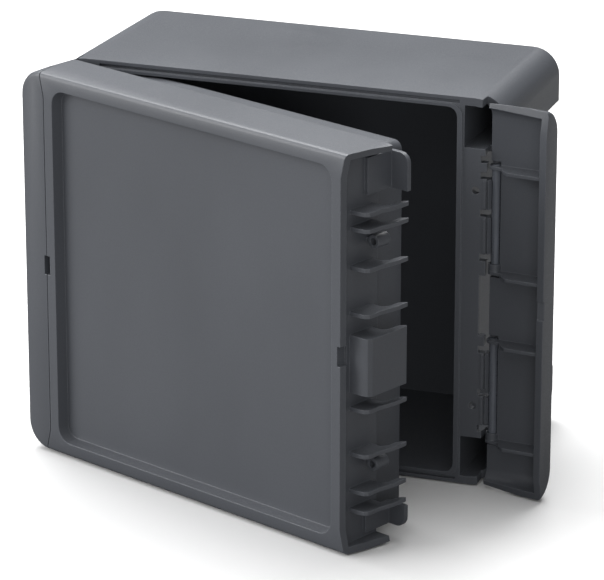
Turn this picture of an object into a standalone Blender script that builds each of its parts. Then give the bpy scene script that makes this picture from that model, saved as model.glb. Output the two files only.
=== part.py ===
"""Wall enclosure with a hinged lid and two full-height snap strips, built in metres, +Z up.

Front is -Y, the wall is at Y = 0, the width runs along X.
The two ends are the same design turned half a turn about Y, so either strip can be the hinge.
"""
import math

import bmesh
import bpy
from mathutils import Matrix, Vector

for item in list(bpy.data.objects):
    bpy.data.objects.remove(item, do_unlink=True)

MM = 0.001

# Overall sizes in millimetres.
WIDTH = 150.0
HEIGHT = 130.0
BASE_DEPTH = 68.0
LID_DEPTH = 18.0
CORNER_R = 9.0
DRAFT = 1.0
WALL = 2.4
GAP = 0.3

# Base.
CAVITY_X = 60.4
CAVITY_Z = 61.5
SIDE_WALL_X = 62.6
FLANGE_T = 2.5
FLANGE_X = 70.2
BLOCK_Z = 46.5
POCKET_X = (62.7, 72.5)
POCKET_Z = (48.6, 62.3)
FLOOR_T = 2.6

# Lid.
SEAM_X = 64.0
SEAM_FLARE = 2.0
SEAM_SLANT = 3.5
RECESS_X = 60.2
RECESS_Z = 60.0
RECESS_DEPTH = 3.6
RECESS_R = 5.0
COLLAR_X = 59.6
COLLAR_Z = 61.0
COLLAR_T = 1.5

# Hinge line of each end, measured from the base front plane.
HINGE_X = 72.8
HINGE_Y = 2.0
PIN_R = 1.4
HOLE_R = 1.68
CRADLE_R = 3.1

# Heights of the crosswise ribs at the right end; the left end has them negated.
LID_RIBS = (45.2, 39.9, 27.5, 12.7, -18.2, -33.0, -45.2, -51.7)
STRIP_RIBS = (42.8, 7.9, -15.3, -49.4)
RIB_T = 1.3
TUBE_X = 66.6
TUBE_Z = (34.8, -37.6)

# Rest pose, in degrees.
LID_OPEN = 22.5
STRIP_OPEN = 85.0


def material(name, color, roughness, metallic=0.0):
    """A plain principled material."""
    mat = bpy.data.materials.new(name)
    mat.use_nodes = True
    shader = mat.node_tree.nodes["Principled BSDF"]
    shader.inputs["Base Color"].default_value = (*color, 1.0)
    shader.inputs["Roughness"].default_value = roughness
    shader.inputs["Metallic"].default_value = metallic
    mat.diffuse_color = (*color, 1.0)
    return mat


def new_object(name, bm):
    """Object from a bmesh, with outward faces; drawn from the base front plane."""
    bmesh.ops.recalc_face_normals(bm, faces=bm.faces)
    mesh = bpy.data.meshes.new(name)
    bm.to_mesh(mesh)
    bm.free()
    obj = bpy.data.objects.new(name, mesh)
    bpy.context.scene.collection.objects.link(obj)
    return obj


def loft(name, sections, axis="Y"):
    """Closed solid through polygons; a section is (level, [(a, b), ...])."""
    bm = bmesh.new()
    rings = []
    for level, outline in sections:
        ring = []
        for a, b in outline:
            spot = (a, level, b) if axis == "Y" else (a, b, level)
            ring.append(bm.verts.new(Vector(spot) * MM))
        rings.append(ring)
    bm.faces.new(rings[0])
    bm.faces.new(list(reversed(rings[-1])))
    count = len(rings[0])
    for lower, upper in zip(rings[:-1], rings[1:]):
        for i in range(count):
            j = (i + 1) % count
            bm.faces.new((lower[i], upper[i], upper[j], lower[j]))
    return new_object(name, bm)


def box(name, x, y, z):
    """Axis-aligned block."""
    outline = [(x[0], z[0]), (x[1], z[0]), (x[1], z[1]), (x[0], z[1])]
    return loft(name, [(y[0], outline), (y[1], outline)])


def rounded(half_x, half_z, radius, steps=8):
    """Rounded rectangle outline in X and Z."""
    points = []
    for cx, cz, start in ((1, 1, 0), (-1, 1, 90), (-1, -1, 180), (1, -1, 270)):
        for i in range(steps + 1):
            turn = math.radians(start + 90 * i / steps)
            points.append((
                cx * (half_x - radius) + radius * math.cos(turn),
                cz * (half_z - radius) + radius * math.sin(turn),
            ))
    return points


def disc(cx, cy, radius, steps=24):
    """Circle outline."""
    return [
        (cx + radius * math.cos(2 * math.pi * i / steps), cy + radius * math.sin(2 * math.pi * i / steps))
        for i in range(steps)
    ]


def boolean(target, others, operation):
    """Combine and keep only the target object."""
    for other in others:
        mod = target.modifiers.new("combine", "BOOLEAN")
        mod.operation = operation
        mod.solver = "EXACT"
        mod.object = other
        graph = bpy.context.evaluated_depsgraph_get()
        mesh = bpy.data.meshes.new_from_object(target.evaluated_get(graph))
        target.modifiers.remove(mod)
        target.data = mesh
        bpy.data.objects.remove(other, do_unlink=True)
    return target


def cut(target, *others):
    """Remove the others from the target."""
    return boolean(target, others, "DIFFERENCE")


def weld(target, *others):
    """Add the others to the target."""
    return boolean(target, others, "UNION")


def both_ends(maker, *args):
    """The right-end feature and its copy turned half a turn about Y."""
    right = maker("right", *args)
    left = maker("left", *args)
    left.data.transform(Matrix.Rotation(math.pi, 4, "Y"))
    return [right, left]


def turned(obj):
    """Turn a right-end object into its left-end twin."""
    obj.data.transform(Matrix.Rotation(math.pi, 4, "Y"))
    return obj


def outer_body(name, y_front, y_back):
    """Outside of the closed box front: rounded corners and a rounded front edge."""
    sections = []
    for back, inset in ((0.0, 1.5), (0.2, 0.9), (0.6, 0.4), (1.3, 0.05)):
        inset += 0.25
        outline = rounded(WIDTH / 2 - inset, HEIGHT / 2 - inset, CORNER_R - inset)
        sections.append((y_front + back, outline))
    outline = rounded(WIDTH / 2, HEIGHT / 2, CORNER_R)
    sections.append((y_front + 8.0, outline))
    sections.append((y_back, outline))
    return loft(name, sections)


def seam_cutter(name, offset, y0, y1):
    """Everything outboard of the slanted seam at the right end."""
    outline = [(0, -57), (SEAM_FLARE, -65.5), (30, -65.5), (30, 65.5), (SEAM_FLARE, 65.5), (0, 57)]
    sections = []
    for y in (y0, y1):
        shift = SEAM_X + offset + SEAM_SLANT * (y + LID_DEPTH) / (LID_DEPTH - GAP)
        sections.append((y, [(a + shift, b) for a, b in outline]))
    return loft(name, sections)


def sector(name, inner, outer, start, stop, z0, z1, steps=10):
    """Part ring about the hinge line."""
    points = []
    for i in range(steps + 1):
        turn = math.radians(start + (stop - start) * i / steps)
        points.append((HINGE_X + outer * math.cos(turn), HINGE_Y + outer * math.sin(turn)))
    for i in range(steps, -1, -1):
        turn = math.radians(start + (stop - start) * i / steps)
        points.append((HINGE_X + inner * math.cos(turn), HINGE_Y + inner * math.sin(turn)))
    return loft(name, [(z0, points), (z1, points)], axis="Z")


# ---------------------------------------------------------------- base shell
half_x = WIDTH / 2
half_z = HEIGHT / 2
base = loft("base_shell", [
    (0.0, rounded(half_x, half_z, CORNER_R)),
    (BASE_DEPTH - 1.5, rounded(half_x - DRAFT, half_z - DRAFT, CORNER_R)),
    (BASE_DEPTH - 0.6, rounded(half_x - DRAFT - 0.4, half_z - DRAFT - 0.4, CORNER_R)),
    (BASE_DEPTH, rounded(half_x - DRAFT - 1.3, half_z - DRAFT - 1.3, CORNER_R - 0.8)),
])
ridge = loft("ridge", [
    (-0.5, rounded(SIDE_WALL_X - 0.5, 62.6, 4.0, 4)),
    (2.0, rounded(SIDE_WALL_X - 0.5, 62.6, 4.0, 4)),
])
weld(base, ridge)
cut(base, loft("cavity", [
    (-1.0, rounded(CAVITY_X, CAVITY_Z, 3.2, 4)),
    (BASE_DEPTH - FLOOR_T, rounded(CAVITY_X - 0.8, CAVITY_Z - 0.6, 3.0, 4)),
]))
for side in (1, -1):
    cut(base, box("groove", (-61.0, 61.0), (-1.0, 1.0), sorted((side * 62.9, side * 63.8))))


def side_recess(name):
    """Open side between the corner blocks, behind the flange."""
    return box(name, (SIDE_WALL_X, 90.0), (FLANGE_T, BASE_DEPTH + 2.0), (-BLOCK_Z, BLOCK_Z))


def flange_edge(name):
    """Room for the hinge line beside the flange."""
    return box(name, (FLANGE_X, 90.0), (-2.0, FLANGE_T + 0.5), (-BLOCK_Z, BLOCK_Z))


def strip_room(name):
    """Room in the front of the base for the closed strip."""
    outline = [
        (72.2, -55.0), (65.5, -62.1), (68.5, -62.1), (68.5, -66.5), (80.0, -66.5),
        (80.0, 66.5), (68.5, 66.5), (68.5, 62.1), (65.5, 62.1), (72.2, 55.0),
    ]
    return loft(name, [(-2.0, outline), (5.2, outline)])


def block_chamfer(name):
    """Bevel on the corner block that the swinging strip needs."""
    plan = [(73.2, 5.0), (80.0, 5.0), (80.0, 18.1), (73.2, 5.2)]
    return loft(name, [(-67.0, plan), (67.0, plan)], axis="Z")


def knuckle_room(name, sign):
    """Room for the strip edge and its knuckle where they cross the corner block wall."""
    low, high = sorted((sign * 46.0, sign * 49.0))
    return box(name, (69.7, 90.0), (-2.0, 5.2), (low, high))


def pocket(name, sign):
    """Well for a wall screw, outside the seal."""
    outline = [(POCKET_X[0], POCKET_Z[1]), (POCKET_X[0], POCKET_Z[0]), (POCKET_X[1], POCKET_Z[0])]
    for i in range(7):
        turn = math.radians(15.0 * i)
        outline.append((POCKET_X[1] - 6.4 + 6.4 * math.cos(turn), POCKET_Z[1] - 6.4 + 6.4 * math.sin(turn)))
    outline = [(a, sign * b) for a, b in outline]
    return loft(name, [(-2.0, outline), (BASE_DEPTH - 5.0, outline)])


def wall_hole(name, sign):
    """Wall screw hole in the floor of a well."""
    outline = disc(68.2, sign * 55.5, 2.4)
    return loft(name, [(BASE_DEPTH - 8.0, outline), (BASE_DEPTH + 2.0, outline)])


def flange_hole(name, z):
    """Securing screw hole in the flange."""
    outline = disc(TUBE_X, z, 1.3, 16)
    return loft(name, [(-2.0, outline), (FLANGE_T + 1.0, outline)])


def slot(name, z, half):
    """Slot in the flange for a lid rib."""
    return box(name, (68.2, 80.0), (-2.0, FLANGE_T + 1.0), (z - half, z + half))


cut(base, *both_ends(side_recess))
cut(base, *both_ends(flange_edge))
cut(base, *both_ends(strip_room))
cut(base, *both_ends(block_chamfer))
for sign in (1, -1):
    cut(base, *both_ends(knuckle_room, sign))
    cut(base, *both_ends(pocket, sign))
    cut(base, *both_ends(wall_hole, sign))
for z in TUBE_Z:
    cut(base, *both_ends(flange_hole, z))
for z in LID_RIBS[:-1]:
    cut(base, *both_ends(slot, z, 1.15))
cut(base, *both_ends(slot, -3.5, 10.2))

# Cradles that hold the hinge pins and the low lips in front of them.
for z0, z1 in ((14.1, 26.1), (28.9, 38.5), (-31.6, -19.6), (-43.8, -34.4)):
    for end in ("right", "left"):
        cradle = sector("cradle", PIN_R + 0.3, CRADLE_R, 134, 232, z0, z1)
        lip = box("lip", (69.2, FLANGE_X - 0.15), (-0.5, 1.9), (z0 + 0.35, z1 - 0.35))
        for extra in (cradle, lip):
            if end == "left":
                turned(extra)
            weld(base, extra)

# Bosses for an inner plate, standing on the floor.
for x in (-50.0, 50.0):
    for z in (-46.0, 46.0):
        foot = disc(x, z, 3.8, 20)
        hole = disc(x, z, 1.4, 12)
        weld(base, loft("boss", [(BASE_DEPTH - 9.0, disc(x, z, 3.4, 20)), (BASE_DEPTH - 2.0, foot)]))
        cut(base, loft("bore", [(BASE_DEPTH - 11.0, hole), (BASE_DEPTH - 3.5, hole)]))


# ---------------------------------------------------------------- lid shell
lid = outer_body("lid_shell", -LID_DEPTH, -GAP)
panel_front = -LID_DEPTH + RECESS_DEPTH
cut(lid, loft("recess", [
    (-LID_DEPTH - 1.0, rounded(RECESS_X + 0.3, RECESS_Z + 0.3, RECESS_R + 0.3)),
    (panel_front, rounded(RECESS_X - 0.9, RECESS_Z - 0.9, RECESS_R - 0.9)),
]))
for end in ("right", "left"):
    seam = seam_cutter("seam", -GAP / 2, -LID_DEPTH - 1.0, 1.0)
    room = box("room", (63.3, 90.0), (-LID_DEPTH + WALL, 5.0), (-62.7, 62.7))
    notch = box("notch", (62.6, 70.0), (-LID_DEPTH - 1.0, -LID_DEPTH + WALL + 1.0), (-3.2, 3.2))
    for extra in (seam, room, notch):
        if end == "left":
            turned(extra)
        cut(lid, extra)
collar = loft("collar", [
    (-6.0, rounded(COLLAR_X, COLLAR_Z, 3.4, 4)),
    (12.6, rounded(COLLAR_X - 0.2, COLLAR_Z - 0.1, 3.2, 4)),
    (16.0, rounded(COLLAR_X - 1.1, COLLAR_Z - 1.0, 2.8, 4)),
])
channel = loft("channel", [
    (-2.6, rounded(62.45, 62.9, 4.0, 4)),
    (2.0, rounded(62.45, 62.9, 4.0, 4)),
])
cut(lid, channel)
weld(lid, collar)
cut(lid, loft("hollow", [
    (panel_front + 2.2, rounded(60.9, 61.0, 2.4, 4)),
    (-5.2, rounded(61.1, 61.2, 2.2, 4)),
]))
cut(lid, loft("inside", [
    (-6.0, rounded(COLLAR_X - COLLAR_T - 0.1, COLLAR_Z - COLLAR_T, 2.1, 4)),
    (17.0, rounded(COLLAR_X - COLLAR_T - 0.4, COLLAR_Z - COLLAR_T - 0.3, 2.0, 4)),
]))

LID_RIB_PLAN = [
    (62.8, -13.0), (66.6, -12.9), (68.8, -12.4), (69.8, -11.3), (70.0, -9.5), (69.8, -6.4),
    (70.4, -3.0), (70.8, 0.0), (70.8, 2.0), (70.7, 5.2), (70.4, 5.6), (70.1, 5.3),
    (69.5, 4.7), (68.9, 3.8), (68.6, 2.6), (68.6, -1.0), (67.2, -2.9), (62.8, -2.9),
]
BLOCK_PLAN = [
    (62.8, -13.0), (69.0, -13.0), (70.2, -12.5), (71.0, -11.2), (71.0, 4.6), (70.4, 5.2),
    (69.6, 4.8), (68.9, 3.8), (68.6, 2.6), (68.6, -1.0), (67.2, -2.9), (62.8, -2.9),
]
TONGUE_PLAN = [
    (62.8, -6.5), (64.5, -6.5), (64.5, 5.9), (63.7, 5.9), (63.3, 4.6), (63.15, 2.0),
    (63.15, -3.0), (62.8, -3.0),
]


def end_piece(plan, z0, z1, end):
    """Solid of one plan shape at the chosen end."""
    piece = loft("piece", [(z0, plan), (z1, plan)], axis="Z")
    return turned(piece) if end == "left" else piece


def screw_tube(z, end):
    """Tube for a securing screw, on a web from the end wall."""
    tube = loft("tube", [(-6.2, disc(TUBE_X, z, 2.15, 20)), (-0.8, disc(TUBE_X, z, 2.3, 20))])
    web = box("web", (62.8, 65.2), (-5.6, -2.9), (z - 0.6, z + 0.6))
    bore = loft("bore", [(-11.0, disc(TUBE_X, z, 1.2, 16)), (1.0, disc(TUBE_X, z, 1.2, 16))])
    for extra, action in ((web, weld), (tube, weld), (bore, cut)):
        if end == "left":
            turned(extra)
        action(lid, extra)


def corner_tongue(sign, near, end):
    """Plate with a rounded corner that enters the screw well."""
    low, high = sorted((sign * near, sign * 61.0))
    outline = [(64.0, sign * near), (71.0, sign * near), (71.0, sign * 57.6)]
    for degrees in range(15, 91, 15):
        turn = math.radians(degrees)
        outline.append((67.6 + 3.4 * math.cos(turn), sign * (57.6 + 3.4 * math.sin(turn))))
    outline.append((64.0, sign * 61.0))
    plate = loft("plate", [(4.4, outline), (5.9, outline)])
    if end == "left":
        turned(plate)
    weld(lid, end_piece(TONGUE_PLAN, low, high, end))
    weld(lid, plate)


for end in ("right", "left"):
    for z in LID_RIBS:
        weld(lid, end_piece(LID_RIB_PLAN, z - RIB_T / 2, z + RIB_T / 2, end))
    weld(lid, end_piece(BLOCK_PLAN, -12.8, 5.9, end))
    for z in TUBE_Z:
        screw_tube(z, end)
    corner_tongue(1, 49.2, end)
    corner_tongue(-1, 53.6, end)


# ---------------------------------------------------------------- gasket
gasket = loft("lid_gasket", [
    (-2.3, rounded(62.15, 62.6, 3.9, 4)),
    (-0.85, rounded(62.15, 62.6, 3.9, 4)),
])
cut(gasket, loft("inside", [
    (-4.0, rounded(59.95, 61.35, 3.6, 4)),
    (1.0, rounded(59.95, 61.35, 3.6, 4)),
]))


# ---------------------------------------------------------------- strips
STRIP_RIB_PLAN = [
    (73.4, -16.5), (65.7, -16.5), (65.9, -4.2), (67.2, -2.4), (70.1, -0.8), (70.5, 1.0), (70.6, 2.6),
    (71.2, 3.7), (72.4, 4.25), (73.8, 4.0), (74.9, 3.0), (74.9, 0.4), (73.4, -0.6),
]


def make_strip(name):
    """Full-height channel strip with crosswise ribs and pin holes, drawn at the right end."""
    strip = outer_body(name, -LID_DEPTH, 3.6)
    keep = seam_cutter("keep", GAP / 2, -LID_DEPTH - 1.0, 6.0)
    boolean(strip, [keep], "INTERSECT")
    cut(strip, loft("inside", [
        (-LID_DEPTH + WALL, rounded(72.4, 62.4, 3.4)),
        (8.0, rounded(72.6, 62.6, 3.6)),
    ]))
    cut(strip, box("notch", (60.0, 65.1), (-LID_DEPTH - 1.0, -LID_DEPTH + WALL + 1.0), (-3.2, 3.2)))
    for z0, z1 in ((8.8, 42.0), (-48.6, -16.1)):
        cut(strip, box("window", (68.0, 80.0), (2.3, 8.0), (z0, z1)))
    for z in STRIP_RIBS:
        weld(strip, loft("rib", [(z - 0.55, STRIP_RIB_PLAN), (z + 0.55, STRIP_RIB_PLAN)], axis="Z"))
    knuckle = disc(HINGE_X, HINGE_Y, 2.15)
    hole = disc(HINGE_X, HINGE_Y, HOLE_R)
    for z in (7.9, -49.4):
        weld(strip, loft("boss", [(z, knuckle), (z + 2.8, knuckle)], axis="Z"))
    for z0, z1 in ((6.0, 44.6), (-51.0, -13.5)):
        cut(strip, loft("bore", [(z0, hole), (z1, hole)], axis="Z"))
    return strip


right_strip = make_strip("right_strip")
left_strip = turned(make_strip("left_strip"))


# ---------------------------------------------------------------- hinge pins
PIN_SPANS = {"upper": (7.3, 43.4), "lower": (-50.0, -14.7)}
pins = {}
for end in ("right", "left"):
    for level, (z0, z1) in PIN_SPANS.items():
        label = level if end == "right" else {"upper": "lower", "lower": "upper"}[level]
        name = end + "_hinge_pin_" + label
        pin = loft(name, [
            (z0, disc(HINGE_X, HINGE_Y, PIN_R - 0.3)), (z0 + 0.3, disc(HINGE_X, HINGE_Y, PIN_R)),
            (z1 - 0.3, disc(HINGE_X, HINGE_Y, PIN_R)), (z1, disc(HINGE_X, HINGE_Y, PIN_R - 0.3)),
        ], axis="Z")
        pins[name] = turned(pin) if end == "left" else pin


# ---------------------------------------------------------------- placing
def finish(obj, mat):
    """Shift from the base front plane to the wall plane, clean up and shade."""
    obj.data.transform(Matrix.Translation(Vector((0.0, -BASE_DEPTH * MM, 0.0))))
    bm = bmesh.new()
    bm.from_mesh(obj.data)
    bmesh.ops.remove_doubles(bm, verts=bm.verts, dist=2e-6)
    bmesh.ops.dissolve_degenerate(bm, edges=bm.edges, dist=2e-6)
    bmesh.ops.dissolve_limit(
        bm, angle_limit=math.radians(0.4), verts=bm.verts, edges=bm.edges, delimit={"NORMAL"},
    )
    bm.to_mesh(obj.data)
    bm.free()
    obj.data.materials.clear()
    obj.data.materials.append(mat)
    obj.data.shade_smooth()
    obj.data.set_sharp_from_angle(angle=math.radians(28))


shell_mat = material("shell_plastic", (0.105, 0.115, 0.130), 0.42)
strip_mat = material("strip_plastic", (0.100, 0.110, 0.125), 0.42)
gasket_mat = material("gasket_rubber", (0.020, 0.020, 0.022), 0.85)
pin_mat = material("pin_plastic", (0.115, 0.125, 0.140), 0.35)

finish(base, shell_mat)
finish(lid, shell_mat)
finish(gasket, gasket_mat)
finish(right_strip, strip_mat)
finish(left_strip, strip_mat)
for pin in pins.values():
    finish(pin, pin_mat)


def pivot(name, x, degrees, members):
    """Empty on a hinge line that turns its members into the rest pose."""
    spot = Vector((x * MM, (HINGE_Y - BASE_DEPTH) * MM, 0.0))
    empty = bpy.data.objects.new(name, None)
    bpy.context.scene.collection.objects.link(empty)
    empty.location = spot
    empty.rotation_euler = (0.0, 0.0, math.radians(degrees))
    for member in members:
        member.data.transform(Matrix.Translation(-spot))
        member.parent = empty
    return empty


pivot("lid_pivot", -HINGE_X, -LID_OPEN, (lid, gasket, left_strip))
pivot("right_strip_pivot", HINGE_X, STRIP_OPEN, (right_strip,))
bpy.context.view_layer.update()
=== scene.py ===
"""Looks for a graphite-grey wall enclosure with a hinged lid and two snap strips."""
import math

import bpy
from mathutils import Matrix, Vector


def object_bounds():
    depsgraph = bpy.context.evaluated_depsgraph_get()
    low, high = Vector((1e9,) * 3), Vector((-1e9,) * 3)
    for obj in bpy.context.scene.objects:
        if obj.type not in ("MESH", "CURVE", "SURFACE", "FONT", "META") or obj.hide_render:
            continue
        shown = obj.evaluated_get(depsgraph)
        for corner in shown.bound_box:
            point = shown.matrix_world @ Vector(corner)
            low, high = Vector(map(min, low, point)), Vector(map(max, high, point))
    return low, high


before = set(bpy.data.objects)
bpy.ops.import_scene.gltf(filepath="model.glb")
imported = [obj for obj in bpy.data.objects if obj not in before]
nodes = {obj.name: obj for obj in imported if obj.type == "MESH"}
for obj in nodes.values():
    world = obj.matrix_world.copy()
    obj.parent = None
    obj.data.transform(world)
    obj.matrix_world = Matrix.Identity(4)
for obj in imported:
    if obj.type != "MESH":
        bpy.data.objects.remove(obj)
cad_low, cad_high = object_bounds()


# ---------------------------------------------------------------- node helpers
class Graph:
    """Small helper for writing a material as nodes."""

    def __init__(self, name):
        self.mat = bpy.data.materials.new(name)
        self.mat.use_nodes = True
        self.tree = self.mat.node_tree
        self.shader = self.tree.nodes["Principled BSDF"]
        self.coords = self.tree.nodes.new("ShaderNodeTexCoord")

    def new(self, kind, **settings):
        """A node of one kind with its properties set."""
        node = self.tree.nodes.new(kind)
        for key, value in settings.items():
            setattr(node, key, value)
        return node

    def feed(self, node, socket, value):
        """Connect an output or set a value."""
        target = node.inputs[socket]
        if isinstance(value, bpy.types.NodeSocket):
            self.tree.links.new(value, target)
        else:
            target.default_value = value

    def math(self, operation, a, b=0.0, clamp=False):
        """One arithmetic step."""
        node = self.new("ShaderNodeMath", operation=operation, use_clamp=clamp)
        self.feed(node, 0, a)
        self.feed(node, 1, b)
        return node.outputs[0]

    def stretch(self, value, low, high, new_low=0.0, new_high=1.0):
        """Map a range to another one, clamped."""
        node = self.new("ShaderNodeMapRange", clamp=True)
        self.feed(node, "Value", value)
        self.feed(node, "From Min", low)
        self.feed(node, "From Max", high)
        self.feed(node, "To Min", new_low)
        self.feed(node, "To Max", new_high)
        return node.outputs["Result"]

    def mix(self, share, a, b):
        """Blend two colours."""
        node = self.new("ShaderNodeMix", data_type="RGBA")
        self.feed(node, 0, share)
        self.feed(node, 6, a)
        self.feed(node, 7, b)
        return node.outputs[2]

    def noise(self, scale, detail=3.0, roughness=0.5, squeeze=(1.0, 1.0, 1.0)):
        """Noise over the object's own coordinates in metres."""
        mapping = self.new("ShaderNodeMapping")
        self.feed(mapping, "Vector", self.coords.outputs["Object"])
        self.feed(mapping, "Scale", squeeze)
        node = self.new("ShaderNodeTexNoise")
        self.feed(node, "Vector", mapping.outputs[0])
        self.feed(node, "Scale", scale)
        self.feed(node, "Detail", detail)
        self.feed(node, "Roughness", roughness)
        return node.outputs["Fac"]

    def cells(self, scale):
        """Cell pattern distance over the object's own coordinates."""
        node = self.new("ShaderNodeTexVoronoi")
        self.feed(node, "Vector", self.coords.outputs["Object"])
        self.feed(node, "Scale", scale)
        return node.outputs["Distance"]

    def edges(self, radius):
        """Mask that is 1 along edges, within the radius, and 0 on flats."""
        soft = self.new("ShaderNodeBevel", samples=6)
        self.feed(soft, "Radius", radius)
        sharp = self.new("ShaderNodeNewGeometry")
        dot = self.new("ShaderNodeVectorMath", operation="DOT_PRODUCT")
        self.tree.links.new(soft.outputs[0], dot.inputs[0])
        self.tree.links.new(sharp.outputs["Normal"], dot.inputs[1])
        return self.stretch(dot.outputs["Value"], 0.995, 0.86)

    def bump(self, height, strength, distance, below=None):
        """Bump from a height, stacked on an earlier one."""
        node = self.new("ShaderNodeBump")
        self.feed(node, "Height", height)
        self.feed(node, "Strength", strength)
        self.feed(node, "Distance", distance)
        if below is not None:
            self.feed(node, "Normal", below)
        return node.outputs[0]


def shade(value):
    """Linear value of a display grey."""
    return value / 12.92 if value <= 0.04045 else ((value + 0.055) / 1.055) ** 2.4


def tint(red, green, blue):
    """Linear colour with alpha from display values 0 to 255."""
    return (shade(red / 255), shade(green / 255), shade(blue / 255), 1.0)


def scaled(color, factor, lift=0.0):
    """A lighter or darker version of a linear colour."""
    return [min(1.0, part * factor + lift) for part in color[:3]] + [1.0]


# ---------------------------------------------------------------- materials
WORN_EDGE = 0.0007
ROUND_EDGE = 0.00035


def moulded(name, base, gloss, grain=1.0, seed=0.0):
    """Spark-textured moulded plastic: fine grain, flow marks, rubbed edges, settled dust."""
    g = Graph(name)
    flow = g.noise(22.0 + seed, 3.0, 0.55, (1.0, 0.6, 0.45))
    cloud = g.noise(9.0 + seed, 2.0, 0.5)
    speck = g.noise(3400.0, 2.0, 0.6)
    fine = g.noise(1500.0, 3.0, 0.65)
    hair = g.noise(70.0 + seed, 5.0, 0.7, (1.0, 1.0, 14.0))
    body = g.mix(g.stretch(flow, 0.3, 0.7), scaled(base, 0.95), scaled(base, 1.06))
    body = g.mix(g.stretch(cloud, 0.35, 0.7, 0.0, 0.12), body, scaled(base, 1.2))
    body = g.mix(g.stretch(speck, 0.38, 0.62, 0.0, 0.22), body, scaled(base, 0.6))
    rub = g.math("MULTIPLY", g.edges(WORN_EDGE), g.stretch(fine, 0.35, 0.62, 0.11, 0.45))
    body = g.mix(rub, body, scaled(base, 1.9, 0.012))
    surface = g.new("ShaderNodeNewGeometry")
    split = g.new("ShaderNodeSeparateXYZ")
    g.tree.links.new(surface.outputs["Normal"], split.inputs[0])
    upward = g.stretch(split.outputs["Z"], 0.55, 1.0)
    settled = g.math("MULTIPLY", upward, g.stretch(fine, 0.45, 0.75, 0.0, 0.10))
    body = g.mix(settled, body, tint(168, 168, 166))
    g.feed(g.shader, "Base Color", body)

    rough = g.math("ADD", gloss, g.stretch(flow, 0.3, 0.7, -0.02, 0.02))
    rough = g.math("ADD", rough, g.stretch(speck, 0.35, 0.65, -0.05, 0.07))
    rough = g.math("ADD", rough, g.stretch(hair, 0.58, 0.70, 0.0, -0.05))
    rough = g.math("SUBTRACT", rough, g.math("MULTIPLY", rub, 0.22), clamp=True)
    g.feed(g.shader, "Roughness", rough)
    g.feed(g.shader, "IOR", 1.50)
    g.feed(g.shader, "Specular IOR Level", 0.55)

    round_edge = g.new("ShaderNodeBevel", samples=6)
    g.feed(round_edge, "Radius", ROUND_EDGE)
    first = g.bump(fine, 0.16 * grain, 0.00006, round_edge.outputs[0])
    second = g.bump(speck, 0.12 * grain, 0.00004, first)
    third = g.bump(flow, 0.02, 0.0004, second)
    g.feed(g.shader, "Normal", third)
    return g.mat


def foam_rubber(name):
    """Closed-cell seal with open pores on its cut faces."""
    g = Graph(name)
    pores = g.cells(2600.0)
    cloud = g.noise(260.0, 4.0, 0.6)
    body = g.mix(g.stretch(pores, 0.05, 0.4), tint(14, 14, 15), tint(40, 40, 42))
    body = g.mix(g.stretch(cloud, 0.4, 0.65, 0.0, 0.4), body, tint(52, 51, 50))
    g.feed(g.shader, "Base Color", body)
    g.feed(g.shader, "Roughness", g.stretch(cloud, 0.3, 0.7, 0.78, 0.95))
    g.feed(g.shader, "Normal", g.bump(pores, 0.6, 0.0002, g.bump(cloud, 0.3, 0.0003)))
    return g.mat


def smooth_rod(name, base):
    """Smooth moulded rod with fine lines along its length and a worn band where it turns."""
    g = Graph(name)
    lines = g.noise(900.0, 4.0, 0.6, (1.0, 1.0, 0.04))
    bands = g.noise(160.0, 3.0, 0.5, (0.2, 0.2, 1.0))
    speck = g.noise(2600.0, 2.0, 0.5)
    body = g.mix(g.stretch(lines, 0.35, 0.65), scaled(base, 0.85), scaled(base, 1.2))
    body = g.mix(g.stretch(bands, 0.5, 0.7, 0.0, 0.35), body, scaled(base, 1.6))
    g.feed(g.shader, "Base Color", body)
    rough = g.math("ADD", g.stretch(lines, 0.3, 0.7, 0.24, 0.34), g.stretch(bands, 0.5, 0.7, 0.0, -0.06))
    rough = g.math("ADD", rough, g.stretch(speck, 0.4, 0.7, 0.0, 0.05), clamp=True)
    g.feed(g.shader, "Roughness", rough)
    g.feed(g.shader, "Normal", g.bump(lines, 0.15, 0.00005, g.bump(speck, 0.08, 0.00003)))
    return g.mat


GRAPHITE = tint(92, 95, 101)
STRIP_GREY = tint(90, 93, 99)
PAINTS = {
    "base_shell": moulded("base_plastic", GRAPHITE, 0.40, 1.0, 0.0),
    "lid_shell": moulded("lid_plastic", GRAPHITE, 0.40, 1.0, 1.7),
    "left_strip": moulded("left_strip_plastic", STRIP_GREY, 0.40, 1.0, 3.1),
    "right_strip": moulded("right_strip_plastic", STRIP_GREY, 0.38, 0.9, 4.3),
    "lid_gasket": foam_rubber("seal_foam"),
}
ROD = smooth_rod("rod_plastic", tint(100, 104, 112))


# ---------------------------------------------------------------- finishing the CAD nodes
CRISP_ANGLE = 24.0
WELD_GAP = 2e-6


def crisp_group(degrees):
    """Modifier nodes that keep edges sharper than an angle crisp and shade the rest smooth."""
    group = bpy.data.node_groups.new("crisp_edges", "GeometryNodeTree")
    group.interface.new_socket("Geometry", in_out="INPUT", socket_type="NodeSocketGeometry")
    group.interface.new_socket("Geometry", in_out="OUTPUT", socket_type="NodeSocketGeometry")
    start = group.nodes.new("NodeGroupInput")
    end = group.nodes.new("NodeGroupOutput")
    angle = group.nodes.new("GeometryNodeInputMeshEdgeAngle")
    over = group.nodes.new("FunctionNodeCompare")
    over.data_type = "FLOAT"
    over.operation = "GREATER_THAN"
    over.inputs[1].default_value = math.radians(degrees)
    shade_edges = group.nodes.new("GeometryNodeSetShadeSmooth")
    shade_edges.domain = "EDGE"
    shade_edges.inputs["Shade Smooth"].default_value = False
    group.links.new(start.outputs[0], shade_edges.inputs["Geometry"])
    group.links.new(angle.outputs["Unsigned Angle"], over.inputs[0])
    group.links.new(over.outputs[0], shade_edges.inputs["Selection"])
    group.links.new(shade_edges.outputs[0], end.inputs[0])
    return group


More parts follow.
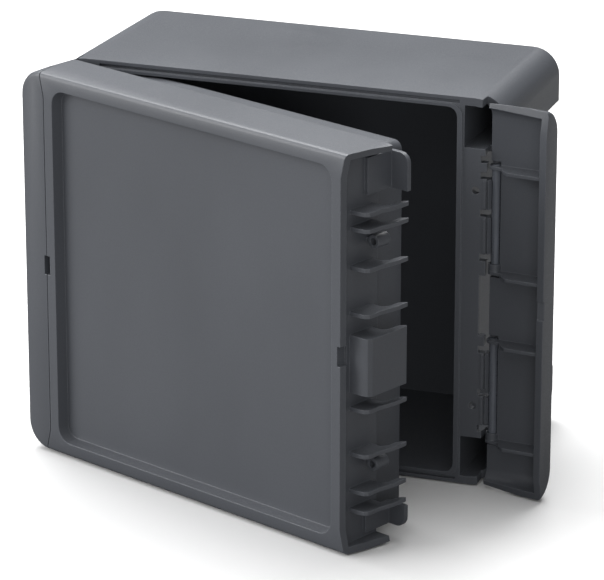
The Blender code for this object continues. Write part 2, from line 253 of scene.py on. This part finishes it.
CRISP = crisp_group(CRISP_ANGLE)


def dress(name, obj):
    """Give a CAD node its material, merged vertices, smooth curves and crisp edges."""
    obj.data.materials.clear()
    obj.data.materials.append(PAINTS.get(name, ROD))
    for polygon in obj.data.polygons:
        polygon.use_smooth = True
        polygon.material_index = 0
    if "custom_normal" in obj.data.attributes:
        obj.data.attributes.remove(obj.data.attributes["custom_normal"])
    join = obj.modifiers.new("join", "WELD")
    join.merge_threshold = WELD_GAP
    crisp = obj.modifiers.new("crisp", "NODES")
    crisp.node_group = CRISP


for node_name, node in sorted(nodes.items()):
    dress(node_name, node)


# ---------------------------------------------------------------- floor and light
FLOOR_GAP = 0.0004
FLOOR_HALF_WIDTH = 9.0
FLOOR_FRONT = -8.0
FLOOR_BACK = 5.0
SWEEP_RADIUS = 2.0
SWEEP_STEPS = 12
BACKDROP_TOP = 8.0


def floor_material():
    """Plain pale matt surface."""
    g = Graph("floor_paint")
    cloud = g.noise(3.0, 3.0, 0.5)
    seen = g.mix(g.stretch(cloud, 0.3, 0.7), tint(250, 250, 250), tint(253, 253, 253))
    rays = g.new("ShaderNodeLightPath")
    g.feed(g.shader, "Base Color", g.mix(rays.outputs["Is Camera Ray"], tint(120, 120, 120), seen))
    g.feed(g.shader, "Roughness", 0.9)
    g.feed(g.shader, "Specular IOR Level", 0.1)
    return g.mat


def add_floor():
    """Flat floor that rises into a backdrop a long way behind."""
    level = cad_low.z - FLOOR_GAP
    profile = [(FLOOR_FRONT, 0.0), (FLOOR_BACK, 0.0)]
    for i in range(1, SWEEP_STEPS + 1):
        turn = math.radians(90 * i / SWEEP_STEPS)
        behind = SWEEP_RADIUS * math.sin(turn)
        above = SWEEP_RADIUS - SWEEP_RADIUS * math.cos(turn)
        profile.append((FLOOR_BACK + behind, above))
    profile.append((FLOOR_BACK + SWEEP_RADIUS, BACKDROP_TOP))
    verts = []
    for y, z in profile:
        verts.append((-FLOOR_HALF_WIDTH, y, z + level))
        verts.append((FLOOR_HALF_WIDTH, y, z + level))
    faces = [(2 * i, 2 * i + 1, 2 * i + 3, 2 * i + 2) for i in range(len(profile) - 1)]
    mesh = bpy.data.meshes.new("studio_floor")
    mesh.from_pydata(verts, [], faces)
    mesh.materials.append(floor_material())
    for polygon in mesh.polygons:
        polygon.use_smooth = True
    obj = bpy.data.objects.new("studio_floor", mesh)
    bpy.context.scene.collection.objects.link(obj)


add_floor()


def area_light(name, place, aim, width, height, power):
    """Rectangular soft white light that faces a point."""
    data = bpy.data.lights.new(name, "AREA")
    data.shape = "RECTANGLE"
    data.size = width
    data.size_y = height
    data.energy = power
    obj = bpy.data.objects.new(name, data)
    bpy.context.scene.collection.objects.link(obj)
    obj.location = place
    obj.rotation_euler = (Vector(aim) - Vector(place)).to_track_quat("-Z", "Y").to_euler()


centre = (cad_low + cad_high) / 2
area_light("top_back_soft", (-0.5, 0.9, 2.0), centre, 2.4, 1.6, 80.0)
area_light("left_fill", (-2.2, -1.1, 0.8), centre, 1.6, 1.6, 39.0)
area_light("low_fill", (0.75, -1.7, 0.1), centre, 0.9, 0.9, 6.5)


def ramp(tree, source, low, high, new_low, new_high):
    """Soft change of brightness along one direction of the surround."""
    node = tree.nodes.new("ShaderNodeMapRange")
    node.interpolation_type = "SMOOTHSTEP"
    tree.links.new(source, node.inputs["Value"])
    node.inputs["From Min"].default_value = low
    node.inputs["From Max"].default_value = high
    node.inputs["To Min"].default_value = new_low
    node.inputs["To Max"].default_value = new_high
    return node.outputs["Result"]


def studio_world():
    """White backdrop for the camera; for all other rays a dim surround, brightest overhead, darker right."""
    world = bpy.data.worlds.new("studio")
    world.use_nodes = True
    tree = world.node_tree
    shader = tree.nodes["Background"]
    coords = tree.nodes.new("ShaderNodeTexCoord")
    split = tree.nodes.new("ShaderNodeSeparateXYZ")
    tree.links.new(coords.outputs["Generated"], split.inputs[0])
    overhead = ramp(tree, split.outputs["Z"], -0.2, 0.9, 0.16, 0.75)
    right = ramp(tree, split.outputs["X"], -0.1, 0.9, 1.0, 0.35)
    around = tree.nodes.new("ShaderNodeMath")
    around.operation = "MULTIPLY"
    tree.links.new(overhead, around.inputs[0])
    tree.links.new(right, around.inputs[1])
    rays = tree.nodes.new("ShaderNodeLightPath")
    level = tree.nodes.new("ShaderNodeMix")
    tree.links.new(rays.outputs["Is Camera Ray"], level.inputs[0])
    tree.links.new(around.outputs[0], level.inputs[2])
    level.inputs[3].default_value = 1.0
    tree.links.new(level.outputs[0], shader.inputs["Strength"])
    shader.inputs["Color"].default_value = (1.0, 1.0, 1.0, 1.0)
    return world


bpy.context.scene.world = studio_world()
bpy.context.scene.view_settings.view_transform = "Standard"


# ---------------------------------------------------------------- camera
CAMERA_PLACE = (0.41838, -1.19595, 0.41538)
CAMERA_RIGHT = math.radians(19.97)
CAMERA_UP = math.radians(19.32)
CAMERA_LENS = 234.84


def add_camera():
    """Long-lens camera that looks from the right and from above, as in the photograph."""
    data = bpy.data.cameras.new("camera")
    data.sensor_width = 36.0
    data.lens = CAMERA_LENS
    data.clip_start = 0.05
    data.clip_end = 60.0
    obj = bpy.data.objects.new("camera", data)
    bpy.context.scene.collection.objects.link(obj)
    level = math.cos(CAMERA_UP)
    back = Vector((math.sin(CAMERA_RIGHT) * level, -math.cos(CAMERA_RIGHT) * level, math.sin(CAMERA_UP)))
    obj.location = CAMERA_PLACE
    obj.rotation_euler = back.to_track_quat("Z", "Y").to_euler()
    bpy.context.scene.camera = obj


add_camera()
